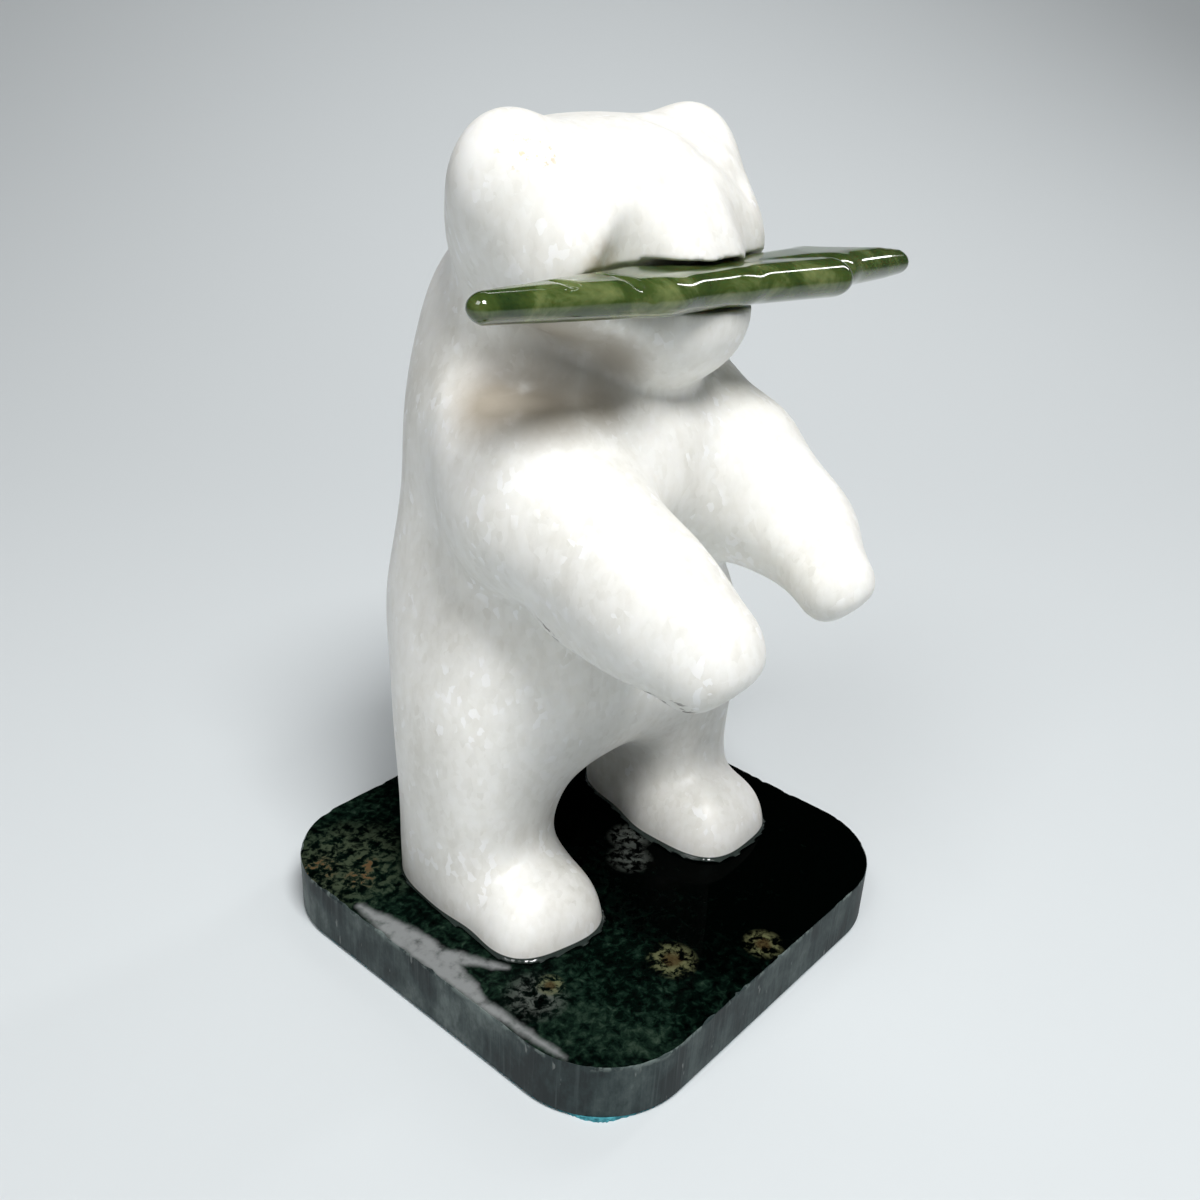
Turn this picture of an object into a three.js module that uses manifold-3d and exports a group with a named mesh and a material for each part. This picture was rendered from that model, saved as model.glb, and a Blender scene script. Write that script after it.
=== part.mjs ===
// A standing bear carved from white marble, with a polished green stone fish held
// crosswise in its mouth, on a square dark green slab with a felt pad underneath.
// Millimetres, +Z up. The origin is the centre of the pad's underside, and the
// slab's front edge lies towards -Y. The bear's right side is towards -X.

import * as THREE from "three";
import { mergeVertices } from "three/addons/utils/BufferGeometryUtils.js";
import Module from "manifold-3d";

const wasm = await Module();
wasm.setup();

// Slab and pad
const SLAB_WIDTH = 101.6;
const SLAB_DEPTH = 103;
const SLAB_THICKNESS = 12.4;
const SLAB_CORNER_RADIUS = 20.5;
const PAD_THICKNESS = 0.8;
const PAD_INSET = 0.5;

// Bear: height from its soles to the tips of its ears, and its place on the slab
const BEAR_HEIGHT = 155;
const BEAR_TURN = -6.2;
const BEAR_SHIFT = [1.6, 2.3];
const GLUE_LINE = 0.3;

// Fish: length from its nose to the tip of its tail, how it lies in the mouth, and the
// height of the open slot over it there
const FISH_LENGTH = 120;
const FISH_TILT = 2.5;
const FISH_CLEARANCE = 0.4;
const MOUTH_GAP = 0.5;

// Fineness of the faceted surfaces: cells along the bear's height, and along the fish's
// length, across it and through it, and the segments in a quarter turn of the slab's corners
const BEAR_CELLS = 35;
const FISH_CELLS = [44, 56, 74];
const CORNER_SEGMENTS = 6;

// The figures are carved from soft volumes. A point is [x, y, z], and each
// function gives the distance from the point to a volume's surface, less than
// zero inside it. Lengths are shares of the figure's own height or length.

const subtract = (a, b) => [a[0] - b[0], a[1] - b[1], a[2] - b[2]];
const dot = (a, b) => a[0] * b[0] + a[1] * b[1] + a[2] * b[2];
const radians = THREE.MathUtils.degToRad;

// Rounded lump: ends squarer in plan as square rises over 2, and upright as tall does
function lump(point, { at, half, square = 2, tall = 2 }) {
  const from = subtract(point, at);
  const [x, y, z] = from.map((value, axis) => Math.abs(value / half[axis]));
  const plan = (x ** square + y ** square) ** (1 / square);
  const level = (plan ** tall + z ** tall) ** (1 / tall);
  return level < 1e-3 ? -Math.min(...half) : Math.hypot(...from) * (1 - 1 / level);
}

// Tapering limb with round ends, from one ball to the next
function limb(point, [start, startRadius], [end, endRadius]) {
  const along = subtract(end, start);
  const length = Math.hypot(...along);
  const from = subtract(point, start);
  const axial = dot(from, along) / length;
  const radial = Math.sqrt(Math.max(dot(from, from) - axial * axial, 0));
  const slope = (startRadius - endRadius) / length;
  const foot = axial - (radial * slope) / Math.sqrt(1 - slope * slope);
  const share = THREE.MathUtils.clamp(foot / length, 0, 1);
  const radius = startRadius + (endRadius - startRadius) * share;
  return Math.hypot(radial, axial - share * length) - radius;
}

// Joins two volumes with a soft fillet of the given reach
function blend(a, b, reach) {
  const overlap = Math.max(reach - Math.abs(a - b), 0) / reach;
  return Math.min(a, b) - (overlap ** 3 * reach) / 6;
}

// Cuts volume b out of volume a, with a soft edge
const carve = (a, b, reach) => -blend(-a, b, reach);

// Limbs joined end to end
function chain(point, stations, reach) {
  return stations.slice(1).reduce((distance, station, index) => {
    const next = limb(point, stations[index], station);
    return index === 0 ? next : blend(distance, next, reach);
  }, 0);
}

// Turns a point about an upright axis, against the angle by which the volume is turned
function turned(point, degrees, [x, y]) {
  const c = Math.cos(radians(degrees));
  const s = Math.sin(radians(degrees));
  const dx = point[0] - x;
  const dy = point[1] - y;
  return [x + c * dx + s * dy, y - s * dx + c * dy, point[2]];
}

// Bear, in hundredths of its height, facing -Y with its soles at z = 0

const HIPS = { at: [0, 6.6, 33.4], half: [22.5, 18.5, 17.7], square: 2.9, tall: 2.3 };
const CHEST = { at: [0, 8.9, 54.9], half: [20.1, 15, 22.7], square: 2.6, tall: 2.3 };
const NECK = { at: [0, 8.8, 72.7], half: [15.9, 15.7, 16.2], square: 2.4, tall: 2.3 };
const LEG = { at: [17.4, 3.8, 10.3], half: [8.8, 10.4, 23.5], square: 2.6, tall: 3.6 };
const FOOT = { at: [16.4, -6.9, -1.4], half: [8.8, 9.4, 10.1], square: 3, tall: 2.3 };
const FOOT_SPLAY = 8;
const RIGHT_ARM = [[[-14.2, -4.4, 58], 11.6], [[-14, -22.6, 52], 6.9], [[-12.4, -30.2, 48], 6.5]];
const LEFT_ARM = [[[13.4, -7.9, 56.8], 11.1], [[15.9, -19.8, 52], 5.4], [[11, -29.2, 49.5], 4.8]];
const FOREARM = { at: [-13.6, -19, 49.7], half: [6.9, 13, 5.5], square: 2.6, tall: 4.5 };
const SHOULDERS = [[[-13, 1, 63], 8.5], [[0, -3.5, 60.5], 10], [[13, 1, 63], 8.5]];
const UNDER_ARM = [[[28, 2, 49.5], 3], [[22.5, -9.5, 43.5], 3.8], [[12, -14.8, 37.5], 3.6]];
const THROAT = [
  [[-25, 3, 77], 8],
  [[-16, -7.5, 77], 9],
  [[-4, -16, 75.5], 7.2],
  [[9, -15, 75], 6.8],
  [[21, -5, 76], 6],
];
const SKULL = { at: [0, 3.7, 87.4], half: [18.9, 13.7, 11.8], square: 2.4, tall: 2.4 };
const MUZZLE = { at: [0, -5.9, 83.2], half: [7.4, 8.5, 9.2], square: 2.4, tall: 2.2 };
const JAW = { at: [0, -4.9, 78.8], half: [8.8, 11.5, 8.9], square: 2.5 };
const CHEEK = { at: [12.5, -3.7, 84.7], half: [6.5, 6.5, 6.5] };
const EAR = { at: [16.2, 2.9, 93.1], half: [5.8, 5.4, 6.8] };
const HEAD_TURN = 7.5;

// The squared ends of the paws face this way, and lie this share of a paw's radius past its middle
const PAW_END = [0.14, -0.7, -0.7];
const PAW_REACH = 0.84;

// Hollow between each cheek and the muzzle, and its size on the right and on the left
const HOLLOW = [[[10, -11.4, 92.2], 1.8], [[13, -15.2, 83.6], 6.6]];
const HOLLOW_SHARE = { right: 1, left: 0.45 };

// Reach of the soft fillet between neighbouring volumes
const SOFT = {
  waist: 20,
  neck: 16,
  shoulders: 12,
  hip: 16,
  underArm: 6,
  throat: 4,
  arm: 6,
  head: 5,
  ankle: 6,
  elbow: 9,
  paw: 2.5,
  muzzle: 8,
  cheek: 9,
  ear: 10,
  forearm: 2.5,
  hollow: 2,
  ball: 3,
};

const onSide = ([x, y, z], side) => [side * x, y, z];
const mirrored = (volume, side) => ({ ...volume, at: onSide(volume.at, side) });
const mirroredBalls = (balls, side, share = 1) => balls.map(
  ([at, radius]) => [onSide(at, side), share * radius],
);

function torso(point) {
  const trunk = blend(lump(point, HIPS), lump(point, CHEST), SOFT.waist);
  return blend(trunk, lump(point, NECK), SOFT.neck);
}

function leg(point, side) {
  const foot = mirrored(FOOT, side);
  const splayed = turned(point, side * FOOT_SPLAY, foot.at);
  return blend(lump(point, mirrored(LEG, side)), lump(splayed, foot), SOFT.ankle);
}

function arm(point, stations) {
  const [paw, pawRadius] = stations.at(-1);
  const pastEnd = dot(subtract(point, paw), PAW_END) - PAW_REACH * pawRadius;
  return carve(chain(point, stations, SOFT.elbow), -pastEnd, SOFT.paw);
}

function head(point) {
  const local = turned(point, HEAD_TURN, SKULL.at);
  let distance = blend(lump(local, SKULL), lump(local, MUZZLE), SOFT.muzzle);
  distance = blend(distance, lump(local, JAW), SOFT.muzzle);
  for (const side of [-1, 1]) {
    distance = blend(distance, lump(local, mirrored(CHEEK, side)), SOFT.cheek);
    distance = blend(distance, lump(local, mirrored(EAR, side)), SOFT.ear);
    const share = side < 0 ? HOLLOW_SHARE.right : HOLLOW_SHARE.left;
    distance = carve(distance, limb(local, ...mirroredBalls(HOLLOW, side, share)), SOFT.hollow);
  }
  return distance;
}

function bearForm(point) {
  let distance = blend(torso(point), chain(point, SHOULDERS, SOFT.ball), SOFT.shoulders);
  for (const side of [-1, 1]) {
    distance = blend(distance, leg(point, side), SOFT.hip);
    distance = carve(distance, chain(point, mirroredBalls(UNDER_ARM, side), SOFT.ball), SOFT.underArm);
  }
  distance = carve(distance, chain(point, THROAT, SOFT.ball), SOFT.throat);
  distance = blend(distance, blend(arm(point, RIGHT_ARM), lump(point, FOREARM), SOFT.forearm), SOFT.arm);
  distance = blend(distance, arm(point, LEFT_ARM), SOFT.arm);
  return blend(distance, head(point), SOFT.head);
}

// Fish, in hundredths of its length, nose towards -X, belly edge towards -Y

const FISH_AT = [0, -15.5, 83];
const FISH_BODY = [[[-40.6, 0.2, 0], 2.05], [[-11.7, 1.5, 0], 6.15], [[5, 1.3, 0], 4.4]];
const NEAR_TAIL = [[[5, 1.3, 0], 4.4], [[27.5, 0.8, 0], 3.8]];
const FAR_TAIL = [[[6.6, 4.2, 0], 4.6], [[33.4, 7.8, 0], 6.15], [[55.3, 7.5, 0], 2.1]];
const FISH_SOFT = 3;

// Half thickness at places along the fish, and the share of it that its rim is rounded over
const FISH_HALVES = [[-43, 2.15], [-27, 2.55], [-8, 2.88], [8, 2.88], [28, 2.7], [57, 2]];
const RIM_SHARE = 0.98;

function halfThickness(x) {
  const [first, last] = [FISH_HALVES[0], FISH_HALVES.at(-1)];
  const within = THREE.MathUtils.clamp(x, first[0], last[0]);
  const next = Math.max(FISH_HALVES.findIndex(([place]) => place >= within), 1);
  const [[start, startHalf], [end, endHalf]] = FISH_HALVES.slice(next - 1, next + 1);
  return THREE.MathUtils.mapLinear(within, start, end, startHalf, endHalf);
}

// A flat outline given thickness, with its rim rounded over; grown adds room all round
function fishForm(point, grown = 0) {
  const flat = [point[0], point[1], 0];
  let outline = chain(flat, FISH_BODY, FISH_SOFT);
  for (const tail of [NEAR_TAIL, FAR_TAIL]) {
    outline = blend(outline, chain(flat, tail, FISH_SOFT), FISH_SOFT);
  }
  const half = halfThickness(point[0]);
  const rim = RIM_SHARE * half;
  const out = outline + rim;
  const up = Math.abs(point[2]) - half + rim;
  const distance = Math.min(Math.max(out, up), 0) + Math.hypot(Math.max(out, 0), Math.max(up, 0));
  return distance - rim - (grown * 100) / FISH_LENGTH;
}

// A grid cell: its eight corners, and its twelve edges from a corner along an axis
const AXES = [..."xyz"].map((name, axis) => axis);
const CORNERS = Array.from(
  { length: 2 ** AXES.length },
  (_, corner) => AXES.map((axis) => (corner >> axis) & 1),
);
const EDGES = AXES.flatMap((axis) => CORNERS
  .map((corner, number) => ({ axis, from: number, to: number + 2 ** axis }))
  .filter((edge) => CORNERS[edge.from][axis] === 0));
const edgeNumber = (axis, from) => EDGES.findIndex((edge) => edge.axis === axis && edge.from === from);

// Edges of each of the cell's six sides
const onCellSide = (edge, axis, side) => CORNERS[edge.from][axis] === side && CORNERS[edge.to][axis] === side;
const SIDES = AXES.flatMap((axis) => Array.from({ length: 2 }, (_, side) => EDGES
  .map((edge, number) => (onCellSide(edge, axis, side) ? number : -1))
  .filter((number) => number >= 0)));

// Sorts the edges that the surface crosses in one cell into its separate sheets there
function sheetsIn(at) {
  const sheet = EDGES.map((edge, number) => number);
  const crossed = (number) => at[EDGES[number].from] < 0 !== at[EDGES[number].to] < 0;
  const join = (a, b) => {
    const [kept, dropped] = [sheet[a], sheet[b]];
    sheet.forEach((value, number) => {
      sheet[number] = value === dropped ? kept : value;
    });
  };
  for (const side of SIDES) {
    const edges = side.filter(crossed);
    if (edges.length === 2) {
      join(...edges);
    }
    if (edges.length === 4) {
      for (let corner = 0; corner < 8; corner += 1) {
        const ends = (number) => [EDGES[number].from, EDGES[number].to];
        const touching = edges.filter((number) => ends(number).includes(corner));
        if (at[corner] < 0 && touching.length === 2) {
          join(...touching);
        }
      }
    }
  }
  const sheets = new Map();
  for (let number = 0; number < 12; number += 1) {
    if (crossed(number)) {
      sheets.set(sheet[number], [...(sheets.get(sheet[number]) ?? []), number]);
    }
  }
  return [...sheets.values()];
}

// Faceted surface of a form: one corner for each sheet of the surface in a cell,
// moved onto the surface, and a pair of triangles across each crossed grid edge
function faceted(form, low, high, cell) {
  const counts = low.map((value, axis) => Math.ceil((high[axis] - value) / cell[axis]) + 1);
  const place = (i, j, k) => [low[0] + i * cell[0], low[1] + j * cell[1], low[2] + k * cell[2]];
  const index = (i, j, k) => (i * counts[1] + j) * counts[2] + k;
  const values = new Float64Array(counts[0] * counts[1] * counts[2]);
  const overGrid = (start, end, visit) => {
    for (let i = start; i < counts[0] - end; i += 1) {
      for (let j = start; j < counts[1] - end; j += 1) {
        for (let k = start; k < counts[2] - end; k += 1) {
          visit(i, j, k);
        }
      }
    }
  };
  overGrid(0, 0, (i, j, k) => {
    values[index(i, j, k)] = form(place(i, j, k));
  });

  const corners = [];
  const cornerOf = new Map();
  overGrid(0, 1, (i, j, k) => {
    const at = CORNERS.map(([a, b, c]) => values[index(i + a, j + b, k + c)]);
    for (const sheet of sheetsIn(at)) {
      for (const number of sheet) {
        cornerOf.set(12 * index(i, j, k) + number, corners.length);
      }
      corners.push(settle(form, crossing(at, sheet, place(i, j, k), cell), cell));
    }
  });

  const triangles = [];
  const addFace = (ring) => {
    const [a, b, c, d] = ring;
    const span = (from, to) => Math.hypot(...subtract(corners[from], corners[to]));
    const split = span(a, c) < span(b, d) ? [a, b, c, a, c, d] : [b, c, d, b, d, a];
    triangles.push(...split);
  };
  overGrid(1, 1, (i, j, k) => {
    const here = values[index(i, j, k)] < 0;
    for (let axis = 0; axis < 3; axis += 1) {
      const step = AXES.map((side) => (side === axis ? 1 : 0));
      if (here === values[index(i + step[0], j + step[1], k + step[2])] < 0) {
        continue;
      }
      const [next, last] = [(axis + 1) % 3, (axis + 2) % 3];
      const ring = [[0, 0], [1, 0], [1, 1], [0, 1]].map(([a, b]) => {
        const back = [0, 0, 0];
        back[next] = a;
        back[last] = b;
        const from = back[0] + 2 * back[1] + 4 * back[2];
        return cornerOf.get(12 * index(i - back[0], j - back[1], k - back[2]) + edgeNumber(axis, from));
      });
      addFace(here ? ring : ring.reverse());
    }
  });
  return { corners, triangles };
}

// Mean of the places where one sheet of the surface crosses the edges of a cell
function crossing(at, sheet, origin, cell) {
  const sum = [0, 0, 0];
  for (const number of sheet) {
    const { axis, from, to } = EDGES[number];
    const share = at[from] / (at[from] - at[to]);
    for (let side = 0; side < 3; side += 1) {
      sum[side] += CORNERS[from][side] + (side === axis ? share : 0);
    }
  }
  return origin.map((value, axis) => value + (sum[axis] / sheet.length) * cell[axis]);
}

// Moves a corner onto the surface in a few steps down the form's slope, by less than half a cell
const SETTLE_ROUNDS = 3;
const SETTLE_STEP = 0.05;
const SETTLE_REACH = 0.45;
const LEAST_STEEPNESS = 0.2;

function settle(form, point, cell) {
  let moved = [...point];
  for (let round = 0; round < SETTLE_ROUNDS; round += 1) {
    const value = form(moved);
    const slope = AXES.map((axis) => {
      const ahead = [...moved];
      ahead[axis] += SETTLE_STEP;
      return (form(ahead) - value) / SETTLE_STEP;
    });
    const steepness = Math.max(dot(slope, slope), LEAST_STEEPNESS);
    moved = moved.map((place, axis) => place - (slope[axis] * value) / steepness);
  }
  const travel = Math.hypot(...subtract(moved, point));
  const limit = Math.min(1, (SETTLE_REACH * Math.min(...cell)) / travel || 1);
  return point.map((place, axis) => place + (moved[axis] - place) * limit);
}

// Solids, for cutting one form with another

function solidOf(corners, triangles) {
  return new wasm.Manifold(new wasm.Mesh({
    numProp: 3,
    vertProperties: new Float32Array(corners.flat()),
    triVerts: new Uint32Array(triangles),
  }));
}

function solidOfBox(low, high) {
  const size = high.map((value, axis) => value - low[axis]);
  const box = new THREE.BoxGeometry(...size);
  box.translate(...low.map((value, axis) => value + size[axis] / 2));
  box.deleteAttribute("normal");
  box.deleteAttribute("uv");
  const merged = mergeVertices(box);
  const places = Array.from(merged.getAttribute("position").array);
  const corners = Array.from({ length: places.length / 3 }, (_, row) => places.slice(3 * row, 3 * row + 3));
  return solidOf(corners, Array.from(merged.index.array));
}

function geometryOf(solid) {
  const mesh = solid.getMesh();
  const geometry = new THREE.BufferGeometry();
  geometry.setAttribute("position", new THREE.BufferAttribute(mesh.vertProperties, 3));
  geometry.setIndex(new THREE.BufferAttribute(mesh.triVerts, 1));
  geometry.computeVertexNormals();
  return geometry;
}

function sculpted(form, low, high, cell, size) {
  const { corners, triangles } = faceted(form, low, high, cell);
  return solidOf(corners.map((corner) => corner.map((value) => (value * size) / 100)), triangles);
}

// The parts of space that hold each form, in hundredths, with more than a cell to spare
const BEAR_ROOM = [[-32, -42, -20], [32, 32, 106]];
const FISH_ROOM = [[-50, -10, -6], [62, 21, 6]];

// Half width of the open slot over the fish, in hundredths of the bear's height
const SLOT_HALF = 7;

// Fish in its own frame, and the same grown by the clearance that the mouth gives it
function fishSolid(grown = 0) {
  const cell = FISH_CELLS.map((count) => 100 / count);
  return sculpted((point) => fishForm(point, grown), ...FISH_ROOM, cell, FISH_LENGTH);
}

function bearSolid() {
  const cell = 100 / BEAR_CELLS;
  const body = sculpted(bearForm, ...BEAR_ROOM, [cell, cell, cell], BEAR_HEIGHT);
  const span = BEAR_HEIGHT;
  return body.subtract(solidOfBox([-span, -span, -span], [span, span, 0]));
}

// Room for the fish: its own shape grown by the clearance, and again higher up for the slot
function mouthRoom() {
  const half = (SLOT_HALF * BEAR_HEIGHT) / 100;
  const seat = fishSolid(FISH_CLEARANCE);
  const slot = seat.translate([0, 0, MOUTH_GAP]);
  const middle = solidOfBox([-half, -FISH_LENGTH, -FISH_LENGTH], [half, FISH_LENGTH, FISH_LENGTH]);
  return seat.add(slot.intersect(middle)).rotate([0, FISH_TILT, 0]).translate(fishPlace());
}

function fishPlace() {
  return FISH_AT.map((value) => (value * BEAR_HEIGHT) / 100);
}

// Slab and pad: rounded squares with upright sides, the pad set in from the slab's edge

function roundedPlate(inset, thickness) {
  const radius = SLAB_CORNER_RADIUS - inset;
  const [x, y] = [SLAB_WIDTH / 2 - inset, SLAB_DEPTH / 2 - inset];
  const outline = new THREE.Shape();
  outline.absarc(x - radius, y - radius, radius, 0, Math.PI / 2);
  outline.absarc(radius - x, y - radius, radius, Math.PI / 2, Math.PI);
  outline.absarc(radius - x, radius - y, radius, Math.PI, 1.5 * Math.PI);
  outline.absarc(x - radius, radius - y, radius, 1.5 * Math.PI, 2 * Math.PI);
  const plate = new THREE.ExtrudeGeometry(outline, {
    depth: thickness,
    bevelEnabled: false,
    curveSegments: CORNER_SEGMENTS,
  });
  plate.deleteAttribute("normal");
  plate.deleteAttribute("uv");
  return mergeVertices(plate);
}

// Materials

const whiteMarble = new THREE.MeshStandardMaterial({ color: 0xe9e7e1, roughness: 0.42, metalness: 0 });
const greenJade = new THREE.MeshStandardMaterial({ color: 0x46602a, roughness: 0.12, metalness: 0 });
const darkSlabStone = new THREE.MeshStandardMaterial({ color: 0x14241f, roughness: 0.1, metalness: 0 });
const tealFelt = new THREE.MeshStandardMaterial({ color: 0x2f6f78, roughness: 0.95, metalness: 0 });

function named(name, geometry, material) {
  const mesh = new THREE.Mesh(geometry, material);
  mesh.name = name;
  return mesh;
}

// Assembly

const pad = named("felt_pad", roundedPlate(PAD_INSET, PAD_THICKNESS), tealFelt);

const slab = named("slab", roundedPlate(0, SLAB_THICKNESS), darkSlabStone);
slab.position.z = PAD_THICKNESS;

const bear = named("bear", geometryOf(bearSolid().subtract(mouthRoom())), whiteMarble);

const fish = named("fish", geometryOf(fishSolid()), greenJade);
fish.position.set(...fishPlace());
fish.rotation.y = radians(FISH_TILT);

const figure = new THREE.Group();
figure.add(bear, fish);
figure.position.set(...BEAR_SHIFT, PAD_THICKNESS + SLAB_THICKNESS + GLUE_LINE);
figure.rotation.z = radians(BEAR_TURN);

const carving = new THREE.Group();
carving.add(pad, slab, figure);

export default carving;
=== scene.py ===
import math

import bpy
import numpy as np
from mathutils import Matrix, Vector


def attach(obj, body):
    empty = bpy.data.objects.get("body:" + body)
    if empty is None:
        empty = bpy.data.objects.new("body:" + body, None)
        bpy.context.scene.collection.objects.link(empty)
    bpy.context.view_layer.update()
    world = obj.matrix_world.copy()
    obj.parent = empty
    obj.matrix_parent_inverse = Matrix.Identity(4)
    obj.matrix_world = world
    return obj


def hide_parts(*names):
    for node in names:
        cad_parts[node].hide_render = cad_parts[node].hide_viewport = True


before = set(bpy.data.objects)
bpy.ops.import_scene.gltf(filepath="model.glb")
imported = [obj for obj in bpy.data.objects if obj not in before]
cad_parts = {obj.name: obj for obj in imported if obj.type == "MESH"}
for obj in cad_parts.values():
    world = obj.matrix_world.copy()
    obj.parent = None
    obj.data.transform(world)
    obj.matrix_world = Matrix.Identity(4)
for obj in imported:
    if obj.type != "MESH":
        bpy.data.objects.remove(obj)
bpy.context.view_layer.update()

# A bear carved from white marble, with a green stone fish crosswise in its mouth, on a
# polished dark green slab with a felt pad. Sizes are in millimetres unless a name says
# otherwise, in the frame's own axes: +Z up, the slab's front edge towards -Y.

MM = 0.001

# Slab, pad and the bear's place, as in the frame
SLAB_WIDTH = 101.6
SLAB_DEPTH = 103.0
SLAB_THICKNESS = 12.4
SLAB_CORNER_RADIUS = 20.5
PAD_THICKNESS = 0.8
PAD_INSET = 0.5
SLAB_TOP = PAD_THICKNESS + SLAB_THICKNESS
BEAR_HEIGHT = 155.0
BEAR_TURN = -6.2
BEAR_SHIFT = (1.6, 2.3)
GLUE_LINE = 0.3
FISH_LENGTH = 120.0
FISH_TILT = 2.5
FISH_CLEARANCE = 0.4
MOUTH_GAP = 0.5

# The camera, solved from the slab's outline: focal length in pixels of a 1200 pixel frame,
# azimuth, elevation and roll in degrees, and place
FOCAL_PIXELS = 1209.8
FRAME_PIXELS = 1200
CAMERA_AZIMUTH = -49.9
CAMERA_ELEVATION = 26.0
CAMERA_ROLL = 3.2
CAMERA_PLACE = (-169.9, -142.7, 183.6)
SENSOR_WIDTH = 36


# Volumes. Each function takes an array of points and gives their distances from the
# volume's surface, less than zero inside it, in hundredths of the figure's height.

def lump(points, at, half, square=2.0, tall=2.0):
    """Rounded lump, with squarer ends in plan as square rises over 2, and upright as tall does."""
    offset = points - np.array(at)
    x, y, z = (np.abs(offset[..., axis]) / half[axis] + 1e-9 for axis in range(3))
    plan = (x ** square + y ** square) ** (1 / square)
    level = (plan ** tall + z ** tall) ** (1 / tall)
    return np.linalg.norm(offset, axis=-1) * (1 - 1 / np.maximum(level, 1e-3))


def limb(points, start, end):
    """Tapering limb with round ends, from one ball to the next."""
    (first, first_radius), (last, last_radius) = start, end
    along = np.subtract(last, first)
    length = np.linalg.norm(along)
    offset = points - np.array(first)
    axial = offset @ along / length
    radial = np.sqrt(np.maximum((offset * offset).sum(-1) - axial * axial, 0))
    slope = (first_radius - last_radius) / length
    share = np.clip((axial - radial * slope / math.sqrt(1 - slope * slope)) / length, 0, 1)
    radius = first_radius + (last_radius - first_radius) * share
    return np.hypot(radial, axial - share * length) - radius


def blend(a, b, reach):
    """Joins two volumes with a soft fillet."""
    overlap = np.maximum(reach - np.abs(a - b), 0) / reach
    return np.minimum(a, b) - overlap ** 3 * reach / 6


def carve(a, b, reach):
    """Cuts volume b out of volume a, with a soft edge."""
    return -blend(-a, b, reach)


def chain(points, stations, reach):
    """Limbs joined end to end, through stations that are each a place and a radius."""
    distance = limb(points, stations[0], stations[1])
    for start, end in zip(stations[1:-1], stations[2:]):
        distance = blend(distance, limb(points, start, end), reach)
    return distance


def turned(points, degrees, at):
    """Points turned about an upright axis, against the angle by which the volume is turned."""
    c, s = math.cos(math.radians(degrees)), math.sin(math.radians(degrees))
    x, y = points[..., 0] - at[0], points[..., 1] - at[1]
    return np.stack([at[0] + c * x + s * y, at[1] - s * x + c * y, points[..., 2]], -1)


def mirrored(at, side):
    return (side * at[0], at[1], at[2])


# Bear, in hundredths of its height, facing -Y with its soles at z = 0

HIPS = dict(at=(0, 6.6, 33.4), half=(22.5, 18.5, 17.7), square=2.9, tall=2.3)
CHEST = dict(at=(0, 8.9, 54.9), half=(20.1, 15, 22.7), square=2.6, tall=2.3)
NECK = dict(at=(0, 8.8, 72.7), half=(15.9, 15.7, 16.2), square=2.4, tall=2.3)
LEG = dict(at=(17.4, 3.8, 10.3), half=(8.8, 10.4, 23.5), square=2.6, tall=3.6)
FOOT = dict(at=(16.4, -6.9, -1.4), half=(8.8, 9.4, 10.1), square=3.0, tall=2.3)
FOOT_SPLAY = 8
RIGHT_ARM = [((-14.2, -4.4, 58), 11.6), ((-14, -22.6, 52), 6.9), ((-12.4, -30.2, 48), 6.5)]
LEFT_ARM = [((13.4, -7.9, 56.8), 11.1), ((15.9, -19.8, 52), 5.4), ((11, -29.2, 49.5), 4.8)]
FOREARM = dict(at=(-13.6, -19, 49.7), half=(6.9, 13, 5.5), square=2.6, tall=4.5)
SHOULDER = [((-13, 1, 63), 8.5), ((0, -3.5, 60.5), 10), ((13, 1, 63), 8.5)]
UNDER_ARM = [((28, 2, 49.5), 3), ((22.5, -9.5, 43.5), 3.8), ((12, -14.8, 37.5), 3.6)]
THROAT = [
    ((-25, 3, 77), 8),
    ((-16, -7.5, 77), 9),
    ((-4, -16, 75.5), 7.2),
    ((9, -15, 75), 6.8),
    ((21, -5, 76), 6),
]
SKULL = dict(at=(0, 3.7, 87.4), half=(18.9, 13.7, 11.8), square=2.4, tall=2.4)
MUZZLE = dict(at=(0, -5.9, 83.2), half=(7.4, 8.5, 9.2), square=2.4, tall=2.2)
JAW = dict(at=(0, -4.9, 78.8), half=(8.8, 11.5, 8.9), square=2.5)
CHEEK = dict(at=(12.5, -3.7, 84.7), half=(6.5, 6.5, 6.5))
EAR = dict(at=(16.2, 2.9, 93.1), half=(5.8, 5.4, 6.8))
HEAD_TURN = 7.5

# The squared ends of the paws face this way, and lie this share of a paw's radius past its middle
PAW_END = (0.14, -0.7, -0.7)
PAW_REACH = 0.84

# Hollow between each cheek and the muzzle, and its size on the right (-1) and on the left (1)
HOLLOW = [((10.0, -11.4, 92.2), 1.8), ((13.0, -15.2, 83.6), 6.6)]
HOLLOW_SHARE = {-1: 1, 1: 0.45}

# Soft creases pressed into the head, beside the muzzle and over the brow
CREASES = [
    [((-1, -10.2, 93.2), 0.2), ((1.6, -12.8, 89.8), 0.2), ((4.2, -15.2, 85.4), 0.2)],
    [((5.5, 1.3, 98.9), 0.2), ((8, -4.6, 96.4), 0.2), ((14.1, -6.0, 92.4), 0.2)],
]
CREASE_DEPTH = 0.7
CREASE_WIDTH = 2.0
CREASE_JOIN = 1

# The glue bead that spreads from the soles
GLUE_WIDTH = 0.62
GLUE_HEIGHT = 0.22

# The mouth: how soft its edge is, and how far its slot reaches to each side
MOUTH_SOFT = 0.35
SLOT_HALF = 7

# Reach of the soft fillet between neighbouring volumes
SOFT = dict(
    waist=20, neck=16, shoulders=12, hip=16, ankle=6, under_arm=6, throat=4, arm=6, forearm=2.5,
    elbow=9, paw=2.5, head=5, muzzle=8, jaw=8, cheek=9, ear=10, hollow=2, ball=3,
)


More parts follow.
